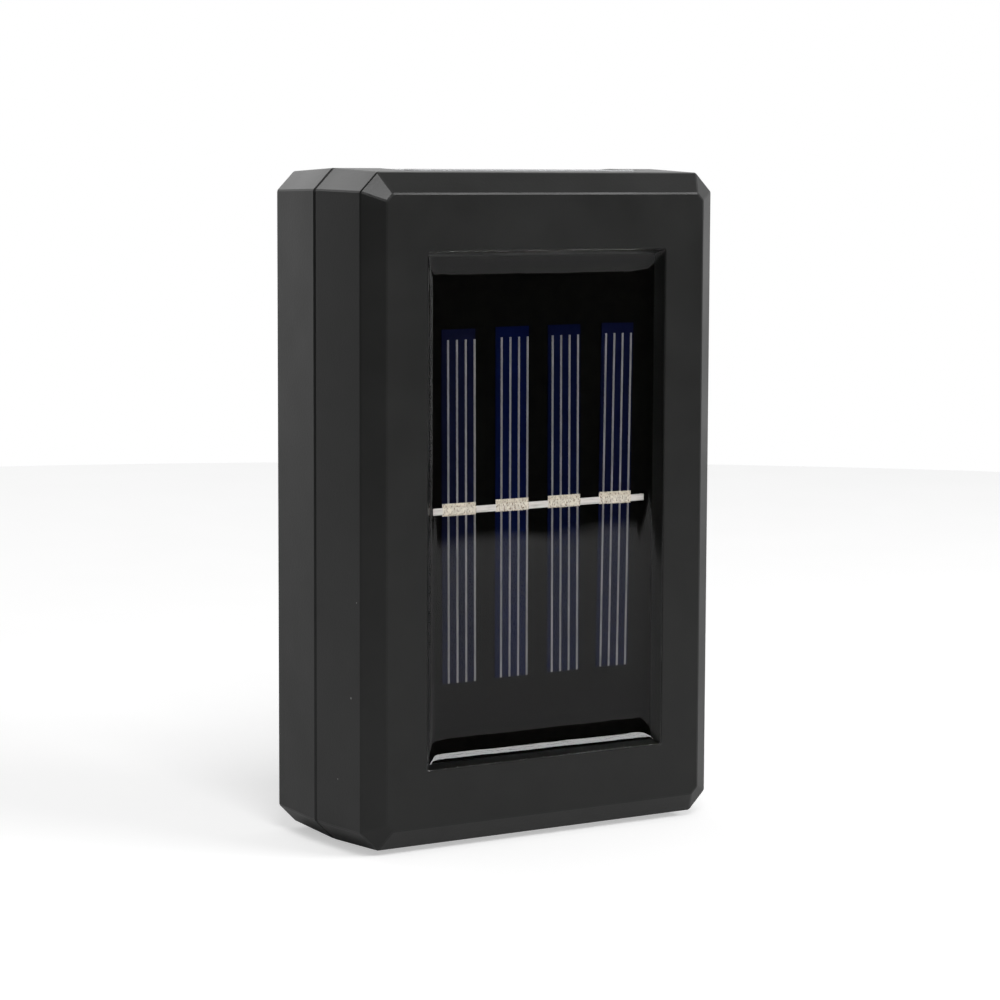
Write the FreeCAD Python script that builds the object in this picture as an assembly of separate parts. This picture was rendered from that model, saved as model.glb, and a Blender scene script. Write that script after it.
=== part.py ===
"""Solar fence light: a flat black box that hangs on a fence and shines up and down.

Millimetres. The origin is the middle of the back face, which lies against the fence.
+Z is up, +Y points out of the back into the fence, and the solar window faces -Y.
Two drafted half shells meet at a seam. The front one carries the solar panel in a
tray filled with clear resin, and the back one carries the driver board and its slide
switch, and the keyhole that the light hangs by. A clear lens is caught between the
shells at the top and at the bottom, with a light-emitting diode behind each.
"""

import FreeCAD
import Part
import os
from math import acos, cos, pi, radians, sin, sqrt, tan

V = FreeCAD.Vector

# ---- housing ---------------------------------------------------------------
body_height = 90.0  # at the seam, where the housing is largest
body_width = 56.8
rear_depth = 11.2  # back face to seam
front_depth = 11.2  # seam to the start of the front bevel
bevel_depth = 2.1
bevel_setback = 2.8
draft_angle = 2.4
corner_cut = 2.85  # leg of the corner chamfers at the seam
edge_bevel = 0.15
seam_groove = 0.35  # leg of the small chamfer on each side of the seam
wall = 2.0
tongue_height = 1.3
tongue_gap = 0.1

# ---- solar window ----------------------------------------------------------
window_width = 37.8
window_height = 68.4
window_corner = 0.3
window_lip = 0.15
resin_drop = 1.7  # front face to the level part of the resin
resin_over_ribbon = 0.45
resin_gap = 0.02
resin_climb = 1.45  # height that the resin climbs up the window's walls
resin_climb_width = 3.6
tray_wall = 1.4
tray_floor = 1.4

# ---- solar panel -----------------------------------------------------------
panel_board_thickness = 1.2
panel_board_gap = 0.15
cell_width = 5.2
cell_length = 47.1
cell_thickness = 0.2
cell_pitch = 8.35
cell_row_shift = -0.29  # window's middle to the row's
cell_row_rise = 0.55
hand_step = 0.05  # the strips were cut and laid by hand, so they are a few of these steps out of true
cell_steps_up = (-3, 0, 1, 2)
finger_steps_across = (2, 1, -3, -3)
cell_tilts = (-0.3, -0.1, -0.2, 0.7)  # degrees
finger_count = 4
finger_width = 0.2
finger_thickness = 0.05
finger_pitch = 1.37
finger_edge = 0.12  # last finger to the strip's right edge
finger_top_margin = 1.4
pad_height = 1.65
pad_thickness = 0.1
pad_drop = 0.3  # middle of the strip down to its pad
ribbon_width = 0.9
ribbon_thickness = 0.15
ribbon_margin = 1.9  # window's edge to the ribbon's ends
ribbon_middle_height = 0.04
ribbon_tilt = 0.4
ribbon_slot_gap = 0.3

# ---- lenses ----------------------------------------------------------------
lens_length = 37.0
lens_depth = 11.0
lens_corner = 2.0
lens_offset = 2.0  # seam to the lens's middle, towards the front
lens_sink = 0.1  # below the housing's edge at the seam
lens_gap = 0.1
lens_edge_bevel = 0.15
lens_flange = 1.5
lens_flange_thickness = 1.2
lens_flange_drop = 0.5  # shell's inner face at the seam down to the flange
lens_bulge = 0.8
lens_bulge_margin = 4.0
lens_rib_thickness = 1.2
lens_rib_height = 5.0
lens_rib_gap = 0.1

# ---- screws that close the housing ------------------------------------------
screw_from_side = 5.6
screw_from_end = 9.0
boss_radius = 2.75
boss_rib_thickness = 1.0
rib_root_share = 0.25  # of the wall's thickness that a rib's end reaches into
screw_tube_radius = 3.5
screw_head_radius = 2.3
screw_head_height = 1.7
screw_shank_radius = 1.3
screw_length = 12.0
screw_head_gap = 0.2
screw_hole_gap = 0.2
screw_seat_depth = 6.2  # back face to the underside of the head
thread_gap = 0.05
pilot_spare = 0.8

# ---- driver board ----------------------------------------------------------
board_width = 18.0
board_past_leads = 2.1  # a lead's middle to the board's end
board_thickness = 1.0
board_corner = 1.5
board_battery_gap = 0.5
post_radius = 2.2
post_from_side = 2.6
post_from_end = 5.5
board_screw_head_radius = 1.8
board_screw_head_height = 1.2
board_screw_radius = 1.0
board_screw_length = 5.6
board_hole_gap = 0.1
peg_radius = 0.9
peg_height = 1.6
chip_width = 4.6
chip_height = 3.6
chip_depth = 1.8
chip_x = -4.0
chip_z = 13.0
chip_lift = 1.2
chip_bevel = 0.5
chip_leg = 0.4
chip_leg_pitch = 1.27
chip_legs = 4
coil_radius = 2.6
coil_winding_radius = 2.2
coil_disc = 0.7
coil_height = 4.4
coil_lead_radius = 0.3
coil_lead_pitch = 3.0
coil_x = 4.2
coil_z = 15.5
coil_lift = 0.2
solder_reach = 0.6  # how far leads stand out of the board's far side
lead_gap = 0.05

# ---- light-emitting diodes ---------------------------------------------------
led_radius = 2.4
led_flange_radius = 2.8
led_flange = 1.0
led_height = 4.7
led_bevel = 0.7
led_lens_gap = 1.2
led_lead = 0.5
led_lead_pitch = 2.54
led_lead_drop = 3.2
led_lead_bend = 0.8

# ---- slide switch ----------------------------------------------------------
switch_length = 8.6
switch_width = 3.7
switch_height = 3.5
switch_z = -21.5
switch_travel = 2.0
switch_skin = 0.5
lever_side = 1.5
lever_gap = 0.2
lever_foot_length = 3.0
lever_foot_width = 2.3
lever_foot_height = 0.9
lever_sink = 0.5  # back face down to the lever's tip
switch_pin_width = 0.6
switch_pin_thickness = 0.3
switch_pin_pitch = 2.5
switch_well_length = 12.0
switch_well_width = 6.4
switch_well_corner = 1.6
switch_well_depth = 1.0

# ---- keyhole ---------------------------------------------------------------
keyhole_entry_radius = 4.0
keyhole_entry_z = 14.0
keyhole_slot_width = 3.8
keyhole_rise = 7.5
keyhole_pocket_gap = 0.6
keyhole_pocket_wall = 0.9
keyhole_board_gap = 0.9

# ---- battery ---------------------------------------------------------------
battery_radius = 5.25
battery_length = 44.5
battery_z = -12.0
battery_sleeve = 0.15
battery_cap_radius = 1.9
battery_cap_height = 0.8
saddle_base = 0.3
saddle_gap = 0.15
saddle_thickness = 1.6
saddle_from_end = 8.25
saddle_cheek = 1.4
tab_width = 3.4
tab_thickness = 0.2
tab_rise = 2.4

# ---- wires -----------------------------------------------------------------
wire_radius = 0.6
wire_sides = 6
wire_arc_share = 0.45  # of the shorter run that an arc takes up
wire_hole_gap = 0.3
panel_wire_z = 1.2
wire_pad_from_side = 1.8  # driver board's edge to a wire's middle
wire_landing = 2.7  # straight end above the driver board
panel_pad_z = 6.0
panel_wire_straight = 2.8
panel_wire_swing = 3.6
panel_wire_climb = 2.0
battery_pad_z = -1.2
battery_wire_straight = 2.4
battery_wire_swing = 5.6
battery_wire_lean = 1.6
battery_wire_climb = 2.0

# ---- places worked out from the sizes above ----------------------------------
touch = 1e-6  # lengths closer than this are the same
seam_y = -rear_depth
bevel_y = seam_y - front_depth
front_y = bevel_y - bevel_depth
draft = tan(radians(draft_angle))
corner_shrink = 2.0 - sqrt(2.0)  # how a corner cut shortens as its outline moves in
window_depth = (
    resin_drop + resin_over_ribbon + ribbon_thickness + pad_thickness
    + cell_thickness + panel_board_thickness
)
tray_y = front_y + window_depth  # the face that the panel board lies on
tray_back_y = tray_y + tray_floor
cell_y = tray_y - panel_board_thickness  # back of the cells, front of their board
pad_y = cell_y - cell_thickness
ribbon_y = pad_y - pad_thickness
resin_level_y = front_y + resin_drop
lens_y = seam_y - lens_offset
lens_top = body_height / 2 - lens_sink
flange_top = body_height / 2 - wall - lens_flange_drop
flange_bottom = flange_top - lens_flange_thickness
led_base_z = flange_bottom - lens_bulge - led_lens_gap - led_height
led_lead_z = led_base_z - led_lead_drop
screw_x = body_width / 2 - screw_from_side
screw_z = body_height / 2 - screw_from_end
screw_seat_y = -screw_seat_depth
battery_y = tray_back_y + saddle_base + battery_radius
board_front_y = battery_y + battery_radius + board_battery_gap
board_back_y = board_front_y + board_thickness
board_height = 2 * (led_lead_z + board_past_leads)
post_x = board_width / 2 - post_from_side
post_z = board_height / 2 - post_from_end
wire_pad_x = board_width / 2 - wire_pad_from_side
switch_top_y = board_back_y + switch_height
pocket_face_y = board_back_y + keyhole_board_gap
pocket_floor_y = pocket_face_y + keyhole_pocket_wall
ribbon_reach = window_width / 2 - ribbon_margin


def box(x_low, x_high, y_low, y_high, z_low, z_high):
    corner = V(x_low, y_low, z_low)
    return Part.makeBox(x_high - x_low, y_high - y_low, z_high - z_low, corner)


def rod(radius, y_low, y_high, x, z):
    """Cylinder along +Y."""
    return Part.makeCylinder(radius, y_high - y_low, V(x, y_low, z), V(0, 1, 0))


def joined(first, others):
    return first.fuse(list(others)).removeSplitter()


def rounded_plate(width, height, radius, y_low, y_high, x=0.0, z=0.0):
    """Plate in the XZ plane with rounded corners."""
    plate = box(
        x - width / 2, x + width / 2, y_low, y_high, z - height / 2, z + height / 2
    )
    upright = [e for e in plate.Edges if abs(abs(e.tangentAt(e.FirstParameter).y) - 1) < touch]
    return plate.makeFillet(radius, upright)


def outline(y, inset):
    """The housing's eight-sided outline at one depth, moved in by inset."""
    half_width = body_width / 2 - inset
    half_height = body_height / 2 - inset
    cut = corner_cut - corner_shrink * inset
    corners = []
    for side_x, side_z in ((1, 1), (-1, 1), (-1, -1), (1, -1)):
        flat = V(side_x * (half_width - cut), y, side_z * half_height)
        upright = V(side_x * half_width, y, side_z * (half_height - cut))
        corners += [upright, flat] if side_x * side_z > 0 else [flat, upright]
    return Part.makePolygon(corners + corners[:1])


def draft_inset(y):
    return abs(y - seam_y) * draft


def outlines_solid(sections):
    return Part.makeLoft([outline(y, inset) for y, inset in sections], True, True)


def ring(y_start, y_end, outer_inset, inner_inset):
    """Band of the housing's wall between two insets, following its draft."""
    outer, inner = (
        outlines_solid([(y, draft_inset(y) + inset) for y in (y_start, y_end)])
        for inset in (outer_inset, inner_inset)
    )
    return outer.cut(inner)


def bevelled_outside(solid, skipped_planes):
    """Bevels the outer edges of a half shell, but leaves those that lie in the given planes."""
    edges = []
    for edge in solid.Edges:
        ys = [v.Y for v in edge.Vertexes]
        if not any(max(abs(y - plane) for y in ys) < touch for plane in skipped_planes):
            edges.append(edge)
    return solid.makeChamfer(edge_bevel, edges)


def at_screws(make):
    return [make(x, z) for x in (-screw_x, screw_x) for z in (-screw_z, screw_z)]


def boss_ribs(y_low, y_high):
    """Thin webs that tie each screw boss to the side and end walls beside it."""
    half = boss_rib_thickness / 2
    root = (1 - rib_root_share) * wall
    side_wall = body_width / 2 - root
    end_wall = body_height / 2 - root
    ribs = []
    for side in (-1, 1):
        x_low, x_high = sorted((side * screw_x, side * side_wall))
        x = side * screw_x
        ribs += both_ends(box(x_low, x_high, y_low, y_high, screw_z - half, screw_z + half))
        ribs += both_ends(box(x - half, x + half, y_low, y_high, screw_z, end_wall))
    return ribs


def lens_block(extra, z_low, z_high):
    """Rounded block of the lens's plan size, grown by extra on each side."""
    length = lens_length + 2 * extra
    depth = lens_depth + 2 * extra
    block = box(
        -length / 2, length / 2, lens_y - depth / 2, lens_y + depth / 2, z_low, z_high
    )
    upright = [e for e in block.Edges if abs(abs(e.tangentAt(e.FirstParameter).z) - 1) < touch]
    return block.makeFillet(lens_corner + extra, upright)


def both_ends(shape):
    """A shape at the top with its mirror image at the bottom."""
    return [shape, shape.mirror(V(0, 0, 0), V(0, 0, 1))]


def lens_cuts():
    slot = lens_block(lens_gap, flange_bottom, lens_top + wall)
    seat = lens_block(lens_flange + lens_gap, flange_bottom - lens_rib_gap, flange_top)
    return both_ends(slot) + both_ends(seat)


def lens_ribs(y_wall, y_reach):
    """Upright ribs that hold the lens's flange up against the shell, at its two ends."""
    x = lens_length / 2 - lens_corner
    top = flange_bottom - lens_rib_gap
    made = []
    for side in (-1, 1):
        rib = box(
            side * x - lens_rib_thickness / 2, side * x + lens_rib_thickness / 2,
            min(y_wall, y_reach), max(y_wall, y_reach), top - lens_rib_height, top,
        )
        made += both_ends(rib)
    return made


def window_void():
    """The room in front of the resin, with concave flanks where the resin climbs the walls."""
    half_angle_tan = resin_climb / resin_climb_width
    angle = 2 * acos(1 / sqrt(1 + half_angle_tan**2))
    bend = resin_climb_width / sin(angle)
    lip_y = resin_level_y - resin_climb
    out_y = front_y - wall

    def trough(half_size, point):
        level_end = half_size - resin_climb_width
        middle = (
            level_end + bend * sin(angle / 2),
            resin_level_y - bend * (1 - cos(angle / 2)),
        )
        right = Part.Arc(
            point(level_end, resin_level_y), point(*middle), point(half_size, lip_y)
        ).toShape()
        left = Part.Arc(
            point(-half_size, lip_y), point(-middle[0], middle[1]), point(-level_end, resin_level_y)
        ).toShape()
        level = Part.LineSegment(
            point(-level_end, resin_level_y), point(level_end, resin_level_y)
        ).toShape()
        outside = Part.makePolygon(
            [
                point(half_size, lip_y), point(half_size, out_y),
                point(-half_size, out_y), point(-half_size, lip_y),
            ]
        )
        return Part.Face(Part.Wire([left, level, right] + outside.Edges))

    half_width = window_width / 2
    half_height = window_height / 2
    across = trough(half_width, lambda u, y: V(u, y, -half_height))
    along = trough(half_height, lambda u, y: V(-half_width, y, u))
    return across.extrude(V(0, 0, window_height)).common(
        along.extrude(V(window_width, 0, 0))
    )


def strip(index, width, height, y_low, y_high, x=0.0, z=0.0):
    """Block laid on one cell, in that cell's own turned frame, x and z from the cell's middle."""
    cell_x = cell_row_shift + (index - (len(cell_tilts) - 1) / 2) * cell_pitch
    cell_z = cell_row_rise + cell_steps_up[index] * hand_step
    block = box(x - width / 2, x + width / 2, y_low, y_high, z - height / 2, z + height / 2)
    block.rotate(V(0, 0, 0), V(0, 1, 0), cell_tilts[index])
    block.translate(V(cell_x, 0, cell_z))
    return block


def ribbon_block(grow, y_low, y_high):
    half = ribbon_width / 2 + grow
    block = box(-ribbon_reach - grow, ribbon_reach + grow, y_low, y_high, -half, half)
    block.rotate(V(0, 0, 0), V(0, 1, 0), -ribbon_tilt)
    block.translate(V(0, 0, ribbon_middle_height))
    return block


def ribbon_end_z():
    return ribbon_middle_height + ribbon_reach * tan(radians(ribbon_tilt))


def panel_wire_x():
    return ribbon_reach - ribbon_thickness / 2


def ribbon_leg(grow, y_low, y_high):
    """The ribbon's right end, bent down through its board."""
    half = ribbon_width / 2 + grow
    middle = ribbon_end_z()
    return box(
        ribbon_reach - ribbon_thickness - grow, ribbon_reach + grow,
        y_low, y_high, middle - half, middle + half,
    )


def blunt_screw(head_radius, head_height, shank_radius, length, place, down):
    """Blunt tapping screw whose head sits on place and whose shank runs along down."""
    head = Part.makeCylinder(head_radius, head_height, place, down * -1)
    shank = Part.makeCylinder(shank_radius, length, place, down)
    return joined(head, [shank])


def route_edges(points):
    """Straight runs joined by tangent arcs, each as large as its two runs allow."""
    edges = []
    start = points[0]
    radii = []
    for before, corner, after in zip(points, points[1:], points[2:]):
        incoming = (before - corner).normalize()
        outgoing = (after - corner).normalize()
        turn = pi - incoming.getAngle(outgoing)
        shorter = min((before - corner).Length, (after - corner).Length)
        trim = wire_arc_share * shorter
        radii.append(trim / tan(turn / 2))
        first = corner + incoming * trim
        last = corner + outgoing * trim
        inward = (incoming + outgoing).normalize()
        sagitta = radii[-1] * (1 / cos(turn / 2) - 1)
        edges.append(Part.LineSegment(start, first).toShape())
        edges.append(Part.Arc(first, corner + inward * sagitta, last).toShape())
        start = last
    edges.append(Part.LineSegment(start, points[-1]).toShape())
    return edges, radii


def wire_along(points):
    """A wire this thin is near enough to round with six sides."""
    edges, radii = route_edges(points)
    path = Part.Wire(edges)
    turn = FreeCAD.Rotation(V(0, 0, 1), points[1] - points[0])
    step = 2 * pi / wire_sides
    corners = [
        points[0] + turn.multVec(V(wire_radius * cos(k * step), wire_radius * sin(k * step), 0))
        for k in range(wire_sides)
    ]
    tube = path.makePipeShell([Part.makePolygon(corners + corners[:1])], True, False)
    volume = wire_sides / 2 * wire_radius**2 * sin(step) * path.Length
    print(
        "wire: length %.1f, radii %s, volume %.3f of %.3f"
        % (path.Length, [round(r, 1) for r in radii], tube.Volume, volume)
    )
    return tube


# ---- housing pieces ----------------------------------------------------------
def front_shell():
    outside = outlines_solid(
        [
            (seam_y, seam_groove),
            (seam_y - seam_groove, draft_inset(seam_y - seam_groove)),
            (bevel_y, draft_inset(bevel_y)),
            (front_y, draft_inset(bevel_y) + bevel_setback),
        ]
    )
    outside = bevelled_outside(outside, (seam_y, seam_y - seam_groove))
    inner_front_y = front_y + wall
    hollow = outlines_solid(
        [(y, draft_inset(y) + wall) for y in (seam_y, bevel_y)]
        + [(inner_front_y, draft_inset(bevel_y) + bevel_setback)]
    )
    tray = rounded_plate(
        window_width + 2 * tray_wall, window_height + 2 * tray_wall,
        window_corner + tray_wall, front_y + wall / 2, tray_back_y,
    )
    shell = outside.cut(hollow)
    bosses = at_screws(lambda x, z: rod(boss_radius, front_y + wall / 2, seam_y, x, z))
    tongue = ring(
        seam_y - wall, seam_y + tongue_height, wall / 2 + tongue_gap / 2, wall
    )
    ribs = lens_ribs(front_y + wall / 2, seam_y) + boss_ribs(inner_front_y, seam_y - wall)
    shell = joined(shell, [tray, tongue] + bosses + ribs + battery_saddles())
    window = rounded_plate(
        window_width, window_height, window_corner, front_y - wall, tray_y
    )
    shell = shell.cut(window)
    lip = [
        e for e in shell.Edges
        if all(abs(v.Y - front_y) < touch for v in e.Vertexes)
        and abs(e.CenterOfMass.x) < window_width / 2 + touch
        and abs(e.CenterOfMass.z) < window_height / 2 + touch
    ]
    shell = shell.makeChamfer(window_lip, lip)
    pilot_end = screw_seat_y - screw_length - pilot_spare
    pilots = at_screws(
        lambda x, z: rod(screw_shank_radius + thread_gap, pilot_end, seam_y + wall, x, z)
    )
    holes = [
        rod(wire_radius + wire_hole_gap, tray_y - wall, tray_back_y + wall, side * panel_wire_x(), z)
        for side, z in ((-1, panel_wire_z), (1, ribbon_end_z()))
    ]
    return shell.cut(pilots + holes + lens_cuts())


def battery_saddles():
    """Two ribs on the tray's back, hollowed to the battery's round."""
    saddle_x = battery_length / 2 - saddle_from_end
    half_height = battery_radius + saddle_gap + saddle_cheek
    hollow = Part.makeCylinder(
        battery_radius + saddle_gap, battery_length,
        V(-battery_length / 2, battery_y, battery_z), V(1, 0, 0),
    )
    saddles = []
    for side in (-1, 1):
        rib = box(
            side * saddle_x - saddle_thickness / 2, side * saddle_x + saddle_thickness / 2,
            tray_back_y - tray_floor / 2, battery_y,
            battery_z - half_height, battery_z + half_height,
        )
        saddles.append(rib.cut(hollow))
    return saddles


def keyhole(grow, y_low, y_high):
    """Round entry with a narrower slot above it. Grown, it is one slot as wide as the entry."""
    entry = rod(keyhole_entry_radius + grow, y_low, y_high, 0, keyhole_entry_z)
    half_slot = keyhole_slot_width / 2 if grow == 0 else keyhole_entry_radius + grow
    top = keyhole_entry_z + keyhole_rise
    slot = box(-half_slot, half_slot, y_low, y_high, keyhole_entry_z, top)
    return joined(entry, [slot, rod(half_slot, y_low, y_high, 0, top)])


def back_shell():
    outside = outlines_solid(
        [
            (seam_y, seam_groove),
            (seam_y + seam_groove, draft_inset(seam_y + seam_groove)),
            (0.0, draft_inset(0.0)),
        ]
    )
    outside = bevelled_outside(outside, (seam_y, seam_y + seam_groove))
    hollow = outlines_solid([(y, draft_inset(y) + wall) for y in (seam_y, -wall)])
    shell = outside.cut(hollow)
    pocket = keyhole(keyhole_pocket_gap + keyhole_pocket_wall, pocket_face_y, -wall / 2)
    tubes = at_screws(lambda x, z: rod(screw_tube_radius, seam_y, -wall / 2, x, z))
    tube_trim = outlines_solid([(y, draft_inset(y) + wall / 2) for y in (seam_y, 0.0)])
    tubes = [tube.common(tube_trim) for tube in tubes]
    posts = [
        rod(post_radius, board_back_y, -wall / 2, x, z)
        for x in (-post_x, post_x)
        for z in (-post_z, post_z)
    ]
    pegs = [
        rod(peg_radius, board_back_y - peg_height, board_back_y + wall, side * post_x, -side * post_z)
        for side in (-1, 1)
    ]
    ribs = lens_ribs(-wall / 2, seam_y) + boss_ribs(seam_y + wall, -wall / 2)
    shell = joined(shell, [pocket] + tubes + posts + pegs + ribs)
    step = ring(
        seam_y - wall, seam_y + tongue_height + tongue_gap,
        wall / 2 - tongue_gap / 2, wall + tongue_gap,
    )
    cuts = [step, keyhole(0, -2 * wall, wall), keyhole(keyhole_pocket_gap, pocket_floor_y, -wall)]
    cuts += at_screws(
        lambda x, z: rod(screw_head_radius + screw_head_gap, screw_seat_y, wall, x, z)
    )
    cuts += at_screws(
        lambda x, z: rod(screw_shank_radius + screw_hole_gap, seam_y - wall, wall, x, z)
    )
    cuts += [
        rod(board_screw_radius + thread_gap, board_front_y - wall,
            board_front_y + board_screw_length + thread_gap, side * post_x, side * post_z)
        for side in (-1, 1)
    ]
    cuts.append(
        rounded_plate(
            switch_well_length, switch_well_width, switch_well_corner,
            -switch_well_depth, wall, 0.0, switch_z,
        )
    )
    slot_length = switch_travel + lever_side + 2 * lever_gap
    slot_width = lever_side + 2 * lever_gap
    cuts.append(
        box(-slot_length / 2, slot_length / 2, -2 * wall, wall,
            switch_z - slot_width / 2, switch_z + slot_width / 2)
    )
    return shell.cut(cuts + lens_cuts())


def lens():
    """Clear lens of the top end: window, flange under the wall, and a bulge over the diode."""
    window = lens_block(0, flange_bottom, lens_top)
    rim = [e for e in window.Edges if all(abs(v.Z - lens_top) < touch for v in e.Vertexes)]
    window = window.makeChamfer(lens_edge_bevel, rim)
    flange = lens_block(lens_flange, flange_bottom, flange_top)
    half_depth = lens_depth / 2
    bulge_radius = (half_depth**2 + lens_bulge**2) / (2 * lens_bulge)
    bulge_length = lens_length - 2 * lens_bulge_margin
    bulge = Part.makeCylinder(
        bulge_radius, bulge_length,
        V(-bulge_length / 2, lens_y, flange_bottom - lens_bulge + bulge_radius), V(1, 0, 0),
    )
    keep = box(-lens_length, lens_length, lens_y - half_depth, lens_y + half_depth,
               flange_bottom - lens_bulge, flange_top)
    return joined(window, [flange, bulge.common(keep)])


def housing_screws():
    return Part.makeCompound(
        at_screws(
            lambda x, z: blunt_screw(
                screw_head_radius, screw_head_height, screw_shank_radius, screw_length,
                V(x, screw_seat_y, z), V(0, -1, 0),
            )
        )
    )


# ---- solar panel pieces --------------------------------------------------------
def panel_board():
    board = rounded_plate(
        window_width - 2 * panel_board_gap, window_height - 2 * panel_board_gap,
        window_corner + panel_board_gap, cell_y, tray_y,
    )
    return board.cut(ribbon_leg(ribbon_slot_gap, cell_y - wall, tray_y + wall))


def solar_cells():
    return Part.makeCompound(
        [strip(i, cell_width, cell_length, pad_y, cell_y) for i in range(len(cell_tilts))]
    )


def cell_fingers():
    """Printed lines on each strip: they stop short of its top edge and pass under its pad."""
    length = cell_length - finger_top_margin
    lines = []
    for index in range(len(cell_tilts)):
        last_x = cell_width / 2 - finger_edge - finger_width / 2 + finger_steps_across[index] * hand_step
        for k in range(finger_count):
            x = last_x - k * finger_pitch
            line = strip(
                index, finger_width, length, pad_y - finger_thickness, pad_y,
                x, -finger_top_margin / 2,
            )
            pad = strip(index, 2 * cell_width, pad_height, ribbon_y, pad_y, 0.0, -pad_drop)
            lines.append(line.cut(pad))
    return Part.makeCompound(lines)


def solder_pads():
    return Part.makeCompound(
        [
            strip(i, cell_width, pad_height, ribbon_y, pad_y, 0.0, -pad_drop)
            for i in range(len(cell_tilts))
        ]
    )


def tab_ribbon():
    flat = ribbon_block(0, ribbon_y - ribbon_thickness, ribbon_y)
    leg = ribbon_leg(0, ribbon_y - ribbon_thickness, tray_y)
    return joined(flat, [leg])


def resin_cover():
    block = rounded_plate(
        window_width - 2 * resin_gap, window_height - 2 * resin_gap,
        window_corner - resin_gap, resin_level_y - resin_climb, cell_y,
    )
    hollows = [
        strip(i, cell_width, cell_length, pad_y - finger_thickness, cell_y)
        for i in range(len(cell_tilts))
    ]
    hollows += [
        strip(i, cell_width, pad_height, ribbon_y, cell_y, 0.0, -pad_drop)
        for i in range(len(cell_tilts))
    ]
    hollows.append(ribbon_block(0, ribbon_y - ribbon_thickness, ribbon_y))
    hollows.append(ribbon_leg(0, ribbon_y - ribbon_thickness, cell_y))
    return block.cut([window_void()] + hollows)


# ---- driver board pieces ---------------------------------------------------------
def led_lead_places():
    return [side * led_lead_pitch / 2 for side in (-1, 1)]


def driver_board():
    board = rounded_plate(board_width, board_height, board_corner, board_front_y, board_back_y)
    holes = []
    for side in (-1, 1):
        holes.append(
            rod(board_screw_radius + board_hole_gap, board_front_y, board_back_y,
                side * post_x, side * post_z)
        )
        holes.append(
            rod(peg_radius + board_hole_gap, board_front_y, board_back_y,
                side * post_x, -side * post_z)
        )
    half_lead = led_lead / 2 + lead_gap
    for x in led_lead_places():
        for z in (-led_lead_z, led_lead_z):
            holes.append(
                box(x - half_lead, x + half_lead, board_front_y, board_back_y,
                    z - half_lead, z + half_lead)
            )
    for x in switch_pin_places():
        holes.append(switch_pin(x, lead_gap, board_front_y, board_back_y))
    for x in chip_leg_places():
        holes.append(chip_pin(x, lead_gap, board_front_y, board_back_y))
    for x in coil_lead_places():
        holes.append(rod(coil_lead_radius + lead_gap, board_front_y, board_back_y, x, coil_z))
    return board.cut(holes)


def board_screws():
    return Part.makeCompound(
        [
            blunt_screw(
                board_screw_head_radius, board_screw_head_height, board_screw_radius,
                board_screw_length, V(side * post_x, board_front_y, side * post_z), V(0, 1, 0),
            )
            for side in (-1, 1)
        ]
    )


def top_led():
    """Flat-topped diode: flange, short body and a bevelled rim."""
    rim = led_base_z + led_height
    section = Part.makePolygon(
        [
            V(0, lens_y, led_base_z), V(led_flange_radius, lens_y, led_base_z),
            V(led_flange_radius, lens_y, led_base_z + led_flange),
            V(led_radius, lens_y, led_base_z + led_flange),
            V(led_radius, lens_y, rim - led_bevel), V(led_radius - led_bevel, lens_y, rim),
            V(0, lens_y, rim), V(0, lens_y, led_base_z),
        ]
    )
    return Part.Face(section).revolve(V(0, lens_y, 0), V(0, 0, 1), 360)


def edges_near(shape, y, z):
    """Edges along X whose middle is at this y and z."""
    return [
        e for e in shape.Edges
        if abs(e.CenterOfMass.y - y) < touch and abs(e.CenterOfMass.z - z) < touch
    ]


def top_led_leads():
    """Two square leads that drop from the diode and bend back through the board."""
    half = led_lead / 2
    leads = []
    for x in led_lead_places():
        drop = box(x - half, x + half, lens_y - half, lens_y + half, led_lead_z - half, led_base_z)
        run = box(
            x - half, x + half, lens_y - half, board_back_y + solder_reach,
            led_lead_z - half, led_lead_z + half,
        )
        lead = joined(drop, [run])
        lead = lead.makeFillet(
            led_lead_bend + half, edges_near(lead, lens_y - half, led_lead_z - half)
        )
        lead = lead.makeFillet(
            led_lead_bend - half, edges_near(lead, lens_y + half, led_lead_z + half)
        )
        leads.append(lead)
    return Part.makeCompound(leads)


def chip_leg_places():
    first = chip_x - (chip_legs - 1) * chip_leg_pitch / 2
    return [first + k * chip_leg_pitch for k in range(chip_legs)]


def chip_pin(x, grow, y_low, y_high):
    half = chip_leg / 2 + grow
    return box(x - half, x + half, y_low, y_high, chip_z - half, chip_z + half)


def driver_chip():
    """Four-legged driver that stands off the board, with bevelled front edges."""
    near_y = board_front_y - chip_lift
    far_y = near_y - chip_height
    body = box(chip_x - chip_width / 2, chip_x + chip_width / 2, far_y, near_y,
               chip_z - chip_depth / 2, chip_z + chip_depth / 2)
    bevelled = [
        e for e in body.Edges
        if abs(e.CenterOfMass.z - (chip_z + chip_depth / 2)) < touch
        and abs(abs(e.CenterOfMass.x - chip_x) - chip_width / 2) < touch
    ]
    body = body.makeChamfer(chip_bevel, bevelled)
    legs = [
        chip_pin(x, 0, near_y - chip_leg, board_back_y + solder_reach)
        for x in chip_leg_places()
    ]
    return joined(body, legs)


def coil_lead_places():
    return [coil_x + side * coil_lead_pitch / 2 for side in (-1, 1)]


def choke_coil():
    """Upright choke: two discs with the winding drawn in between them, and two leads."""
    near_y = board_front_y - coil_lift
    far_y = near_y - coil_height
    core = rod(coil_winding_radius, far_y, near_y, coil_x, coil_z)
    discs = [
        rod(coil_radius, far_y, far_y + coil_disc, coil_x, coil_z),
        rod(coil_radius, near_y - coil_disc, near_y, coil_x, coil_z),
    ]
    leads = [
        rod(coil_lead_radius, near_y - coil_disc, board_back_y + solder_reach, x, coil_z)
        for x in coil_lead_places()
    ]
    return joined(core, discs + leads)


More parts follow.
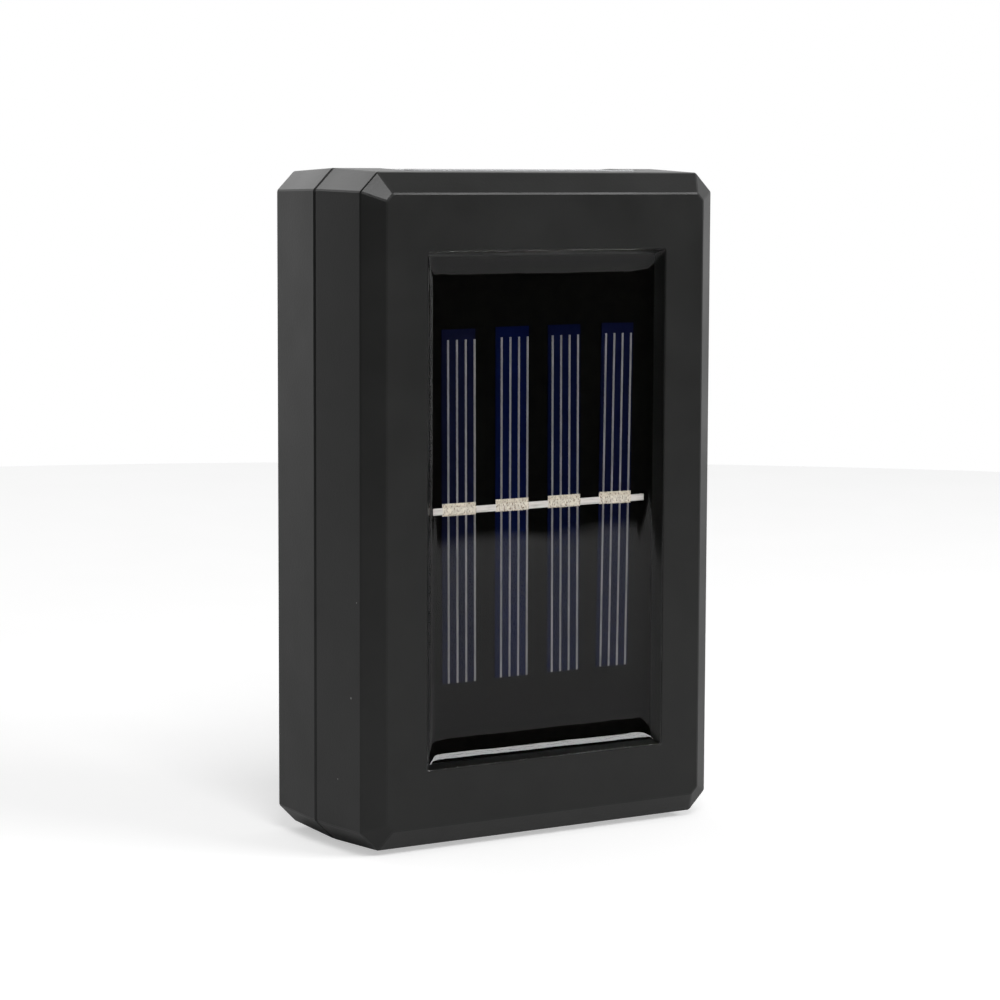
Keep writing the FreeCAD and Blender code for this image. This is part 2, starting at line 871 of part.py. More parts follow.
# ---- slide switch ----------------------------------------------------------------
def switch_pin_places():
    return [k * switch_pin_pitch for k in (-1, 0, 1)]


def switch_pin(x, grow, y_low, y_high):
    half_width = switch_pin_width / 2 + grow
    half_thickness = switch_pin_thickness / 2 + grow
    return box(x - half_width, x + half_width, y_low, y_high,
               switch_z - half_thickness, switch_z + half_thickness)


def switch_body():
    """Folded cover with a slot for the lever and a wider channel for its foot."""
    body = box(
        -switch_length / 2, switch_length / 2, board_back_y, switch_top_y,
        switch_z - switch_width / 2, switch_z + switch_width / 2,
    )
    slot_length = switch_travel + lever_side + 2 * lever_gap
    channel_length = switch_travel + lever_foot_length + 2 * lever_gap
    slot_half = lever_side / 2 + lever_gap
    channel_half = lever_foot_width / 2 + lever_gap
    channel_top = switch_top_y - switch_skin
    channel_depth = lever_foot_height + 2 * lever_gap
    slot = box(-slot_length / 2, slot_length / 2, channel_top - channel_depth, switch_top_y,
               switch_z - slot_half, switch_z + slot_half)
    channel = box(-channel_length / 2, channel_length / 2, channel_top - channel_depth,
                  channel_top, switch_z - channel_half, switch_z + channel_half)
    return body.cut([slot, channel])


def switch_pins():
    return Part.makeCompound(
        [
            switch_pin(x, 0, board_front_y - solder_reach, board_back_y)
            for x in switch_pin_places()
        ]
    )


def switch_lever():
    """Lever at its left stop, with the foot that keeps it in the switch."""
    x = -switch_travel / 2
    foot_top = switch_top_y - switch_skin - lever_gap
    foot = box(x - lever_foot_length / 2, x + lever_foot_length / 2,
               foot_top - lever_foot_height, foot_top,
               switch_z - lever_foot_width / 2, switch_z + lever_foot_width / 2)
    stem = box(x - lever_side / 2, x + lever_side / 2, foot_top - lever_foot_height,
               -lever_sink, switch_z - lever_side / 2, switch_z + lever_side / 2)
    return joined(foot, [stem])


# ---- battery ---------------------------------------------------------------------
def turned_along_x(points):
    """Solid of revolution about the battery's axis, from (x, radius) points."""
    corners = [V(x, battery_y, battery_z + r) for x, r in points]
    section = Part.Face(Part.makePolygon(corners + corners[:1]))
    return section.revolve(V(0, battery_y, battery_z), V(1, 0, 0), 360)


def battery_cell():
    """Can with the raised cap of its positive end."""
    half = battery_length / 2
    can_end = half - battery_cap_height
    radius = battery_radius - battery_sleeve
    return turned_along_x(
        [
            (-half, 0), (-half, radius), (can_end, radius), (can_end, battery_cap_radius),
            (half, battery_cap_radius), (half, 0),
        ]
    )


def battery_sleeve_tube():
    """Shrunk sleeve round the can."""
    low = -battery_length / 2
    high = battery_length / 2 - battery_cap_height
    inner = battery_radius - battery_sleeve
    return turned_along_x(
        [(low, inner), (low, battery_radius), (high, battery_radius), (high, inner)]
    )


def battery_tabs():
    """Nickel strips welded to the cell's two ends, standing up for the wires."""
    half = battery_length / 2
    top = battery_z + battery_radius + tab_rise
    tabs = []
    for side in (-1, 1):
        x_low, x_high = sorted((side * half, side * (half + tab_thickness)))
        tabs.append(
            box(x_low, x_high, battery_y - tab_width / 2, battery_y + tab_width / 2,
                battery_z - battery_cap_radius, top)
        )
    return Part.makeCompound(tabs)


# ---- wires -----------------------------------------------------------------------
def panel_wire(side, start_z):
    """From the back of the panel board, through the tray, to the driver board."""
    start_x = side * panel_wire_x()
    end_x = side * wire_pad_x
    return wire_along(
        [
            V(start_x, tray_y, start_z),
            V(start_x, tray_back_y + panel_wire_straight, start_z),
            V(
                start_x - side * panel_wire_swing, tray_back_y + 2 * panel_wire_straight,
                start_z + panel_wire_climb,
            ),
            V(end_x, board_front_y - wire_landing, panel_pad_z),
            V(end_x, board_front_y, panel_pad_z),
        ]
    )


def battery_wire(side):
    """From a tab's top edge, over the battery, to the driver board."""
    start_x = side * (battery_length / 2 + tab_thickness / 2)
    start_z = battery_z + battery_radius + tab_rise
    end_x = side * wire_pad_x
    return wire_along(
        [
            V(start_x, battery_y, start_z),
            V(start_x, battery_y, start_z + battery_wire_straight),
            V(
                start_x - side * battery_wire_swing, battery_y + battery_wire_lean,
                start_z + battery_wire_straight + battery_wire_climb,
            ),
            V(end_x, board_front_y - wire_landing, battery_pad_z),
            V(end_x, board_front_y, battery_pad_z),
        ]
    )


def mirrored_in_z(shape):
    return shape.mirror(V(0, 0, 0), V(0, 0, 1))


def main():
    top_lens = lens()
    upper_led = top_led()
    upper_leads = top_led_leads()
    pieces = {
        "front_shell": front_shell(),
        "back_shell": back_shell(),
        "top_lens": top_lens,
        "bottom_lens": mirrored_in_z(top_lens),
        "housing_screws": housing_screws(),
        "panel_board": panel_board(),
        "solar_cells": solar_cells(),
        "cell_fingers": cell_fingers(),
        "solder_pads": solder_pads(),
        "tab_ribbon": tab_ribbon(),
        "resin_cover": resin_cover(),
        "driver_board": driver_board(),
        "board_screws": board_screws(),
        "driver_chip": driver_chip(),
        "choke_coil": choke_coil(),
        "top_led": upper_led,
        "bottom_led": mirrored_in_z(upper_led),
        "top_led_leads": upper_leads,
        "bottom_led_leads": mirrored_in_z(upper_leads),
        "switch_body": switch_body(),
        "switch_pins": switch_pins(),
        "switch_lever": switch_lever(),
        "battery_cell": battery_cell(),
        "battery_sleeve": battery_sleeve_tube(),
        "battery_tabs": battery_tabs(),
        "panel_wire_red": panel_wire(1, ribbon_end_z()),
        "panel_wire_black": panel_wire(-1, panel_wire_z),
        "battery_wire_red": battery_wire(1),
        "battery_wire_black": battery_wire(-1),
    }
    os.makedirs("parts", exist_ok=True)
    for name, shape in pieces.items():
        if not shape.isValid() or shape.Volume <= 0:
            raise ValueError(name + " is not a valid solid")
        shape.exportStep("parts/" + name + ".step")
        print("%-20s %d solids, %9.2f mm3" % (name, len(shape.Solids), shape.Volume))


main()
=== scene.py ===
"""Dresses the solar fence light: moulded housing, lenses, solar window, screws and a soft studio.

Sizes are in metres unless a property says otherwise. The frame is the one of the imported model:
+Z up, +Y out of the back into the fence, and the solar window faces -Y.
"""

from math import asin, cos, pi, radians, sin, sqrt

import bmesh
import bpy
from bpy.props import FloatProperty, FloatVectorProperty, PointerProperty
from bpy.types import Operator, Panel, PropertyGroup
from mathutils import Matrix, Vector


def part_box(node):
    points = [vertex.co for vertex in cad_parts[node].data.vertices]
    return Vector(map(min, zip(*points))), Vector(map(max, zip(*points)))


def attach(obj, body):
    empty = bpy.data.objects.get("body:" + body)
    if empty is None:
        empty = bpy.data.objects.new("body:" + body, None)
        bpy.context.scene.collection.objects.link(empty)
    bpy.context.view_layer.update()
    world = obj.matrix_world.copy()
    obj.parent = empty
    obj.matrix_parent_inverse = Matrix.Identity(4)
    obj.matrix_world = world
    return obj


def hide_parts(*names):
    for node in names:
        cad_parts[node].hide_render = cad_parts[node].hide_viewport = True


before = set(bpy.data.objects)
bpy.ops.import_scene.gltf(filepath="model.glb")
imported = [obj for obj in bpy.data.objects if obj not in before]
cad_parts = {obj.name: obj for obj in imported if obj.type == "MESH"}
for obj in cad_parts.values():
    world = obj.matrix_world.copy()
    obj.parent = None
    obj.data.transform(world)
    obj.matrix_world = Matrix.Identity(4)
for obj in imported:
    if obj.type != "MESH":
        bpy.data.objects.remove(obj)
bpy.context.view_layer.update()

bl_info = {
    "name": "Solar Fence Light",
    "version": (1, 0, 0),
    "blender": (4, 5, 0),
    "location": "3D View > Sidebar > Fence Light",
    "description": "Finishes a small solar fence light and sets it in a soft studio",
    "category": "Object",
}

MM = 0.001
BODY = "light"
LEVER_BODY = "lever"
CELLS = 4
LEFT_FRONT = (-0.255, -0.666, 0.683)
RIGHT_FRONT = (0.536, -0.7, 0.465)
BEHIND = (-0.155, 0.797, 0.583)
LAMP_DISTANCE = 0.9
GLINT_DISTANCE = 0.88
# Corners of the curtain's foot on the floor, in mm, from behind on the left round the front.
CURTAIN_LINE = (
    (-245, 377), (-330, 60), (-240, -125), (-185, -235), (-95, -443), (155, -292), (211, -310),
    (302, -230), (302, -98),
)
CURTAIN_LEAN = radians(30)


def length_property(name, description, millimetres):
    return FloatProperty(
        name=name, description=description, default=millimetres * MM, unit="LENGTH", precision=5
    )


def colour_property(name, description, colour):
    return FloatVectorProperty(
        name=name, description=description, default=colour, subtype="COLOR", size=3, min=0, max=1
    )


def share_property(name, description, value):
    return FloatProperty(name=name, description=description, default=value, min=0, subtype="FACTOR")


def angle_property(name, description, degrees):
    return FloatProperty(
        name=name, description=description, default=radians(degrees), unit="ROTATION"
    )


def strength_property(name, description, value):
    return FloatProperty(name=name, description=description, default=value, min=0)


# ---- sizes and colours that a user would change ------------------------------
class HousingFinish(PropertyGroup):
    colour: colour_property(
        "Plastic", "Black plastic of both half shells", (0.0125, 0.0127, 0.0122)
    )
    roughness: share_property("Roughness", "Roughness of the moulded surface", 0.37)
    grain_size: length_property("Grain size", "Size of the fine moulded grain", 0.35)
    grain_depth: length_property("Grain depth", "Depth of the fine moulded grain", 0.012)
    dust_colour: colour_property("Dust", "Specks of dust on the plastic", (0.2, 0.2, 0.19))
    dust_spacing: length_property("Dust spacing", "Mean distance between specks of dust", 5.0)
    dust_size: length_property("Dust size", "Radius of the largest speck", 0.16)


class LensFinish(PropertyGroup):
    colour: colour_property("Lens", "Clear plastic of both lenses", (0.93, 0.94, 0.95))
    clearness: share_property("Clearness", "Share of light that goes into the lens", 0.55)
    roughness: share_property("Roughness", "Roughness of the lens plastic", 0.22)
    ripple_size: length_property("Ripple size", "Width of the faint flow marks in the lens", 4.0)
    ripple_depth: length_property("Ripple depth", "Depth of the faint flow marks", 0.01)


class PanelFinish(PropertyGroup):
    board_colour: colour_property("Board", "Black board under the cells", (0.0026, 0.0026, 0.0023))
    first_tint: colour_property("First cell", "Blue of the left cell", (0.0046, 0.0054, 0.0180))
    second_tint: colour_property("Second cell", "Blue of the second cell", (0.0020, 0.0042, 0.0255))
    third_tint: colour_property("Third cell", "Blue of the third cell", (0.0026, 0.0042, 0.0205))
    fourth_tint: colour_property("Fourth cell", "Blue of the right cell", (0.0038, 0.0050, 0.0210))
    cell_pitch: length_property("Cell pitch", "Distance between the middles of two cells", 8.35)
    line_colour: colour_property("Printed lines", "Silver of the lines", (0.44, 0.435, 0.44))
    line_width: length_property("Line width", "Width of a printed line", 0.09)
    pad_colour: colour_property("Pads", "Dull silver of the solder pads", (0.66, 0.60, 0.50))
    pad_middle_colour: colour_property(
        "Ribbon on a pad", "Tinned ribbon soldered to a pad", (0.72, 0.67, 0.58)
    )
    pad_speck_colour: colour_property("Pad specks", "Burnt flux on the pads", (0.22, 0.15, 0.10))
    pad_speck_size: length_property("Pad speck size", "Size of the specks on the pads", 0.2)
    ribbon_colour: colour_property("Ribbon", "Tinned ribbon across the pads", (0.72, 0.69, 0.66))


class ResinShape(PropertyGroup):
    level_drop: length_property("Level drop", "Front face down to the level resin", 1.7)
    climb: length_property("Climb", "Height that the resin climbs up the window's walls", 1.58)
    climb_width: length_property("Climb width", "Width of the climbing edge at the top", 3.6)
    climb_left: share_property("Climb at the left", "Share of that width at the left", 0.7)
    climb_right: share_property("Climb at the right", "Share of that width at the right", 0.92)
    climb_bottom: share_property("Climb at the bottom", "Share of that width at the bottom", 1.2)
    corner: length_property("Corner", "Radius of the window's corners", 0.3)
    corner_growth: FloatProperty(
        name="Corner growth", description="How fast the corners grow rounder inwards", default=0.45
    )
    wall_bite: length_property("Wall bite", "How far the resin wets into the walls round it", 0.03)
    ior: FloatProperty(
        name="Index", description="Refractive index of the resin", default=1.38, min=1
    )
    roughness: share_property("Roughness", "Roughness of the cured resin", 0.015)
    wave_height: length_property("Wave height", "Height of the uneven pour", 0.012)
    wave_length: length_property("Wave length", "Length of the uneven pour's waves", 14.0)


class ScrewShape(PropertyGroup):
    head_radius: length_property("Head radius", "Radius of a housing screw's head", 2.3)
    head_height: length_property("Head height", "Height of a housing screw's head", 1.7)
    shank_radius: length_property("Shank radius", "Outer radius of its thread", 1.3)
    board_head_radius: length_property("Board screw head", "Radius of a board screw's head", 1.8)
    board_head_height: length_property("Board screw head height", "Height of that head", 1.2)
    board_shank_radius: length_property("Board screw shank", "Outer radius of its thread", 1.0)
    thread_pitch: length_property("Thread pitch", "Distance between two turns of a thread", 0.95)
    steel_colour: colour_property("Steel", "Zinc-plated steel", (0.55, 0.55, 0.53))


class StudioSettings(PropertyGroup):
    lens: FloatProperty(
        name="Focal length", description="Camera's focal length in millimetres on a 36 mm sensor",
        default=112.07, unit="CAMERA",
    )
    camera_place: FloatVectorProperty(
        name="Camera", description="Where the camera stands", default=(-0.22894, -0.37067, 0.04529),
        subtype="TRANSLATION", unit="LENGTH",
    )
    yaw: angle_property("Yaw", "Turn of the camera about the vertical", -32.578)
    pitch: angle_property("Pitch", "How far the camera looks down", 6.119)
    roll: angle_property("Roll", "Tilt of the camera about its own axis", 0.235)
    floor_drop: length_property("Floor drop", "Origin down to the floor", 45.4)
    floor_radius: length_property("Floor radius", "Radius of the pale floor", 520.0)
    floor_colour: colour_property("Floor", "Pale floor", (0.8, 0.8, 0.8))
    floor_glow: strength_property(
        "Floor white", "White added to the floor for the camera and through clear parts", 0.46
    )
    curtain_top: angle_property(
        "Curtain's top", "How far the curtain arches over, from the horizon", 100.0
    )
    curtain_reach: length_property(
        "Curtain's reach", "Distance of the curtain above its foot", 1000.0
    )
    world_strength: strength_property("Room light", "Strength of the even light of the room", 0.32)
    left_light: strength_property("Left light", "Power of the soft light at the left front", 2.7)
    left_glint: strength_property(
        "Left glint", "Power of a light near it that lights no diffuse colour", 1.8
    )
    strip_light: strength_property("Strip light", "Power of the long light at the right front", 3.2)
    back_light: strength_property("Back light", "Power of the soft light behind", 0.9)


# ---- node materials ----------------------------------------------------------
class Finish:
    """A node material built round one Principled shader, in the light's own coordinates."""

    def __init__(self, name):
        self.material = bpy.data.materials.new(name)
        self.material.use_nodes = True
        self.tree = self.material.node_tree
        self.shader = self.tree.nodes["Principled BSDF"]
        self.place = self.node("ShaderNodeTexCoord").outputs["Object"]

    def node(self, kind, **settings):
        made = self.tree.nodes.new(kind)
        for key, value in settings.items():
            setattr(made, key, value)
        return made

    def link(self, source, target):
        self.tree.links.new(source, target)

    def set(self, **values):
        """Sets plain values on the shader's own sockets, named with underscores for spaces."""
        for key, value in values.items():
            self.shader.inputs[key.replace("_", " ")].default_value = value
        return self

    def feed(self, socket, source):
        self.link(source, self.shader.inputs[socket])
        return self

    def stretched(self, scale):
        """The coordinates, stretched along the axes."""
        mapping = self.node("ShaderNodeMapping")
        mapping.inputs["Scale"].default_value = scale
        self.link(self.place, mapping.inputs["Vector"])
        return mapping.outputs["Vector"]

    def noise(self, size, detail=2.0, place=None):
        """Soft noise whose lumps are about size metres across."""
        made = self.node("ShaderNodeTexNoise")
        made.inputs["Scale"].default_value = 1 / size
        made.inputs["Detail"].default_value = detail
        self.link(place or self.place, made.inputs["Vector"])
        return made.outputs["Fac"]

    def ramp(self, source, stops, interpolation="LINEAR"):
        """Colours along source, from (position, colour) pairs."""
        made = self.node("ShaderNodeValToRGB")
        made.color_ramp.interpolation = interpolation
        elements = made.color_ramp.elements
        while len(elements) < len(stops):
            elements.new(0.5)
        for element, (position, colour) in zip(elements, stops):
            element.position = position
            element.color = (*colour, 1.0)
        self.link(source, made.inputs["Fac"])
        return made.outputs["Color"]

    def spread(self, source, low, high, low_to=0.0, high_to=1.0):
        """Maps source from low..high to low_to..high_to, and clamps it there."""
        made = self.node("ShaderNodeMapRange")
        made.inputs["From Min"].default_value = low
        made.inputs["From Max"].default_value = high
        made.inputs["To Min"].default_value = low_to
        made.inputs["To Max"].default_value = high_to
        self.link(source, made.inputs["Value"])
        return made.outputs["Result"]

    def math(self, operation, first, second=None):
        made = self.node("ShaderNodeMath", operation=operation)
        for socket, value in zip(made.inputs, (first, second)):
            if isinstance(value, (int, float)):
                socket.default_value = value
            elif value is not None:
                self.link(value, socket)
        return made.outputs["Value"]

    def mix(self, factor, first, second):
        """Mixes two colours, each a tuple or a socket."""
        made = self.node("ShaderNodeMix", data_type="RGBA")
        self.link(factor, made.inputs["Factor"])
        colours = [s for s in made.inputs if s.type == "RGBA"]
        for socket, value in zip(colours, (first, second)):
            if hasattr(value, "is_output"):
                self.link(value, socket)
            else:
                socket.default_value = (*value, 1.0)
        return next(s for s in made.outputs if s.type == "RGBA")

    def bump(self, height, depth, strength=1.0):
        """Relief of the given depth in metres."""
        made = self.node("ShaderNodeBump")
        made.inputs["Strength"].default_value = strength
        made.inputs["Distance"].default_value = depth
        self.link(height, made.inputs["Height"])
        self.feed("Normal", made.outputs["Normal"])
        return self

    def specks(self, spacing, radius, kept):
        """1 inside sparse round specks and 0 elsewhere.

        kept is the share of the cells that have one.
        """
        cells = self.node("ShaderNodeTexVoronoi", feature="F1")
        cells.inputs["Scale"].default_value = 1 / spacing
        self.link(self.place, cells.inputs["Vector"])
        split = self.node("ShaderNodeSeparateColor")
        self.link(cells.outputs["Color"], split.inputs["Color"])
        size = self.math("MULTIPLY", split.outputs["Green"], radius / spacing)
        inside = self.math("LESS_THAN", cells.outputs["Distance"], size)
        chosen = self.math("LESS_THAN", split.outputs["Red"], kept)
        return self.math("MULTIPLY", inside, chosen)


def even_colour(finish, colour, size=3 * MM, swing=0.12):
    """A colour that varies a little in lightness, as real surfaces do."""
    light = tuple(min(1.0, c * (1 + swing)) for c in colour)
    dark = tuple(c * (1 - swing) for c in colour)
    return finish.ramp(finish.noise(size, detail=3.0), [(0.3, dark), (0.7, light)])


def varied_roughness(finish, roughness, size=2 * MM, swing=0.05):
    return finish.spread(finish.noise(size), 0.3, 0.7, roughness - swing, roughness + swing)


def moulded_plastic(name, colour, roughness, grain_size=0.3 * MM, grain_depth=0.004 * MM):
    """Plain moulded plastic with a fine grain."""
    finish = Finish(name)
    finish.feed("Base Color", even_colour(finish, colour))
    finish.feed("Roughness", varied_roughness(finish, roughness))
    finish.bump(finish.noise(grain_size, detail=3.0), grain_depth)
    return finish


def metal(name, colour, roughness, stretch=(1, 1, 1), grain_size=0.2 * MM, grain_depth=0.002 * MM):
    """Metal with a fine grain, drawn out along one axis if stretch says so."""
    finish = Finish(name)
    finish.set(Metallic=1.0)
    place = finish.stretched(stretch)
    grain = finish.noise(grain_size, detail=3.0, place=place)
    finish.feed("Base Color", even_colour(finish, colour, size=1.5 * MM, swing=0.08))
    finish.feed("Roughness", finish.spread(grain, 0.3, 0.7, roughness - 0.06, roughness + 0.06))
    finish.bump(grain, grain_depth)
    return finish


def housing_material(settings):
    """Black plastic with a fine moulded grain and a little dust."""
    finish = Finish("housing_plastic")
    finish.set(Specular_IOR_Level=0.38)
    colour = even_colour(finish, tuple(settings.colour), size=6 * MM, swing=0.1)
    dust = finish.specks(settings.dust_spacing, settings.dust_size, kept=0.45)
    finish.feed("Base Color", finish.mix(dust, colour, tuple(settings.dust_colour)))
    finish.feed("Roughness", varied_roughness(finish, settings.roughness, size=9 * MM, swing=0.03))
    finish.bump(finish.noise(settings.grain_size, detail=4.0), settings.grain_depth)
    return finish.material


def lens_material(settings):
    finish = Finish("lens_plastic")
    finish.set(Transmission_Weight=settings.clearness, IOR=1.5)
    finish.feed("Base Color", even_colour(finish, tuple(settings.colour), size=8 * MM, swing=0.02))
    finish.feed("Roughness", varied_roughness(finish, settings.roughness, swing=0.02))
    finish.bump(finish.noise(settings.ripple_size), settings.ripple_depth)
    return finish.material


def board_material(settings):
    """Black board with a barely visible weave."""
    finish = Finish("panel_board")
    finish.set(Specular_IOR_Level=0.0)
    colour = even_colour(finish, tuple(settings.board_colour), size=2 * MM, swing=0.3)
    finish.feed("Base Color", colour)
    finish.feed("Roughness", varied_roughness(finish, 0.6))
    finish.bump(finish.noise(0.4 * MM), 0.005 * MM)
    return finish.material


def cell_material(settings):
    """Four strips, each its own blue, with the faint mottle of silicon."""
    finish = Finish("solar_cell")
    finish.set(Specular_IOR_Level=0.0)
    low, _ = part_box("solar_cells")
    split = finish.node("ShaderNodeSeparateXYZ")
    finish.link(finish.place, split.inputs["Vector"])
    along = finish.spread(split.outputs["X"], low.x, low.x + CELLS * settings.cell_pitch)
    tints = (settings.first_tint, settings.second_tint, settings.third_tint, settings.fourth_tint)
    blue = finish.ramp(along, [(k / CELLS, tuple(tint)) for k, tint in enumerate(tints)], "CONSTANT")
    mottle = finish.spread(finish.noise(1.2 * MM, detail=4.0), 0.3, 0.7)
    darker = finish.node("ShaderNodeMix", data_type="RGBA", blend_type="MULTIPLY")
    colours = [s for s in darker.inputs if s.type == "RGBA"]
    finish.link(mottle, darker.inputs["Factor"])
    finish.link(blue, colours[0])
    colours[1].default_value = (0.72, 0.78, 0.82, 1.0)
    finish.feed("Base Color", next(s for s in darker.outputs if s.type == "RGBA"))
    finish.feed("Roughness", varied_roughness(finish, 0.4))
    finish.bump(finish.noise(0.3 * MM, detail=3.0), 0.002 * MM)
    return finish.material


def line_material(settings):
    """Printed silver lines, thinner and thicker in places."""
    finish = Finish("printed_lines")
    finish.set(Metallic=0.2)
    place = finish.stretched((1, 1, 0.15))
    patches = finish.noise(0.35 * MM, detail=3.0, place=place)
    colour = tuple(settings.line_colour)
    worn = tuple(c * 0.72 for c in colour)
    finish.feed("Base Color", finish.ramp(patches, [(0.3, worn), (0.6, colour)]))
    finish.feed("Roughness", finish.spread(patches, 0.3, 0.7, 0.5, 0.7))
    finish.bump(patches, 0.01 * MM)
    return finish.material


def pad_colours(finish, settings, colour):
    """Dull solder with burnt specks."""
    place = finish.stretched((1.4, 1, 0.6))
    specks = finish.noise(settings.pad_speck_size, detail=5.0, place=place)
    burnt = finish.spread(specks, 0.53, 0.62)
    base = even_colour(finish, colour, size=0.5 * MM, swing=0.14)
    return finish.mix(burnt, base, tuple(settings.pad_speck_colour))


def over_pads(finish, settings):
    """1 where the ribbon lies on a solder pad, and 0 between the pads."""
    low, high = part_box("solder_pads")
    pad_width = high.x - low.x - (CELLS - 1) * settings.cell_pitch
    split = finish.node("ShaderNodeSeparateXYZ")
    finish.link(finish.place, split.inputs["Vector"])
    across = finish.math("SUBTRACT", split.outputs["X"], low.x)
    along = finish.math("DIVIDE", across, settings.cell_pitch)
    inside = finish.math("LESS_THAN", finish.math("FRACT", along), pad_width / settings.cell_pitch)
    return finish.math("MULTIPLY", inside, finish.math("GREATER_THAN", along, 0.0))


def pad_material(settings):
    """Solder pads: dull silver with burnt specks."""
    finish = Finish("solder_pads")
    finish.set(Metallic=0.15)
    finish.feed("Base Color", pad_colours(finish, settings, tuple(settings.pad_colour)))
    finish.feed("Roughness", varied_roughness(finish, 0.55, size=0.4 * MM, swing=0.12))
    finish.bump(finish.noise(0.25 * MM, detail=4.0), 0.03 * MM)
    return finish.material


def ribbon_material(settings):
    """Tinned ribbon with long faint scratches."""
    finish = Finish("tinned_ribbon")
    finish.set(Metallic=0.25)
    colour = tuple(settings.ribbon_colour)
    dull = tuple(c * 0.66 for c in colour)
    scratches = finish.noise(0.3 * MM, detail=4.0, place=finish.stretched((0.12, 1, 1.2)))
    bare = finish.ramp(scratches, [(0.3, dull), (0.55, colour)])
    soldered = pad_colours(finish, settings, tuple(settings.pad_middle_colour))
    finish.feed("Base Color", finish.mix(over_pads(finish, settings), bare, soldered))
    finish.feed("Roughness", finish.spread(scratches, 0.3, 0.7, 0.35, 0.55))
    finish.bump(scratches, 0.02 * MM)
    return finish.material


def resin_material(settings):
    finish = Finish("clear_resin")
    finish.set(Transmission_Weight=1.0, IOR=settings.ior)
    clear = even_colour(finish, (0.97, 0.97, 0.96), size=10 * MM, swing=0.01)
    finish.feed("Base Color", clear)
    finish.feed("Roughness", varied_roughness(finish, settings.roughness, size=8 * MM, swing=0.01))
    return finish.material


def steel_material(settings):
    finish = metal("screw_steel", tuple(settings.steel_colour), 0.32, grain_size=0.15 * MM)
    return finish.material


# ---- meshes --------------------------------------------------------------------
def new_piece(name, mesh, material, body, replaced=()):
    """Puts a mesh in the scene as a piece of the light."""
    piece = bpy.data.objects.new(name, mesh)
    bpy.context.scene.collection.objects.link(piece)
    mesh.materials.append(material)
    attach(piece, body)
    if replaced:
        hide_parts(*replaced)
    return piece


def finish_node(node, material):
    """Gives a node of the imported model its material, and leaves its mesh as it is."""
    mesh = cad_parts[node].data
    mesh.materials.clear()
    mesh.materials.append(material)


def mesh_from(name, points, faces, smooth=True):
    mesh = bpy.data.meshes.new(name)
    mesh.from_pydata([tuple(p) for p in points], [], faces)
    mesh.validate()
    work = bmesh.new()
    work.from_mesh(mesh)
    bmesh.ops.recalc_face_normals(work, faces=work.faces)
    work.to_mesh(mesh)
    work.free()
    mesh.polygons.foreach_set("use_smooth", [smooth] * len(mesh.polygons))
    return mesh


def rounded_loop(half_width, half_height, radius, per_corner, per_side, per_end):
    """Points round a rounded rectangle, anticlockwise from the right side, as (x, z)."""
    loop = []
    corners = ((1, 1, per_end), (-1, 1, per_side), (-1, -1, per_end), (1, -1, per_side))
    for quarter, (side_x, side_z, steps) in enumerate(corners):
        centre_x = side_x * (half_width - radius)
        centre_z = side_z * (half_height - radius)
        for k in range(per_corner + 1):
            angle = (quarter + k / per_corner) * pi / 2
            loop.append((centre_x + radius * cos(angle), centre_z + radius * sin(angle)))
        after = corners[(quarter + 1) % 4]
        start = Vector(loop[-1])
        angle = (quarter + 1) * pi / 2
        end = Vector(
            (
                after[0] * (half_width - radius) + radius * cos(angle),
                after[1] * (half_height - radius) + radius * sin(angle),
            )
        )
        loop += [tuple(start.lerp(end, k / steps)) for k in range(1, steps)]
    return loop


def resin_mesh(settings):
    """Poured resin: level in the middle, and climbing the window's walls in a hollow curve."""
    low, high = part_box("resin_cover")
    board_low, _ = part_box("panel_board")
    front_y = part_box("front_shell")[0].y
    level_y = front_y + settings.level_drop
    half_width = (high.x - low.x) / 2 + settings.wall_bite
    half_height = (high.z - low.z) / 2 + settings.wall_bite
    back_y = board_low.y + settings.wall_bite
    slope = settings.climb / settings.climb_width
    bend = settings.climb_width * (1 + slope**2) / (2 * slope)
    loops, per_corner, per_side, per_end = 30, 14, 60, 34
    points = []
    for k in range(loops + 1):
        inward = settings.climb_width * k / loops
        radius = settings.corner + settings.corner_growth * inward
        reach = settings.climb_width - inward
        climb = bend - sqrt(bend**2 - reach**2)
        left, right = settings.climb_left * inward, settings.climb_right * inward
        bottom = settings.climb_bottom * inward
        loop = rounded_loop(
            half_width - (left + right) / 2, half_height - (bottom + inward) / 2, radius,
            per_corner, per_side, per_end,
        )
        for loop_x, loop_z in loop:
            x = loop_x + (left - right) / 2
            z = loop_z + (bottom - inward) / 2
            wave = sin(2 * pi * x / settings.wave_length + 0.7) * cos(
                2 * pi * z / (1.3 * settings.wave_length) + 0.4
            )
            lift = climb + settings.wave_height * wave * min(1.0, 4 * inward / settings.climb_width)
            points.append((x, level_y - lift, z))
    count = len(points) // (loops + 1)
    back = [(x, back_y, z) for x, _, z in points[:count]]
    faces = []
    for k in range(loops):
        for j in range(count):
            after = (j + 1) % count
            faces.append(
                (k * count + j, k * count + after, (k + 1) * count + after, (k + 1) * count + j)
            )
    middle = loops * count
    faces.append(tuple(range(middle, middle + count)))
    base = len(points)
    points += back
    faces += [(j, (j + 1) % count, base + (j + 1) % count, base + j) for j in range(count)]
    faces.append(tuple(base + j for j in reversed(range(count))))
    mesh = mesh_from("poured_resin", points, faces)
    side = range(len(mesh.polygons) - count - 1, len(mesh.polygons))
    for index in side:
        mesh.polygons[index].use_smooth = False
    return mesh


def islands(mesh):
    """Vertex places of each separate body of a mesh."""
    parent = list(range(len(mesh.vertices)))

    def root(i):
        while parent[i] != i:
            parent[i] = parent[parent[i]]
            i = parent[i]
        return i

    for edge in mesh.edges:
        first, second = (root(i) for i in edge.vertices)
        parent[first] = second
    groups = {}
    for vertex in mesh.vertices:
        groups.setdefault(root(vertex.index), []).append(vertex.co)
    return groups.values()


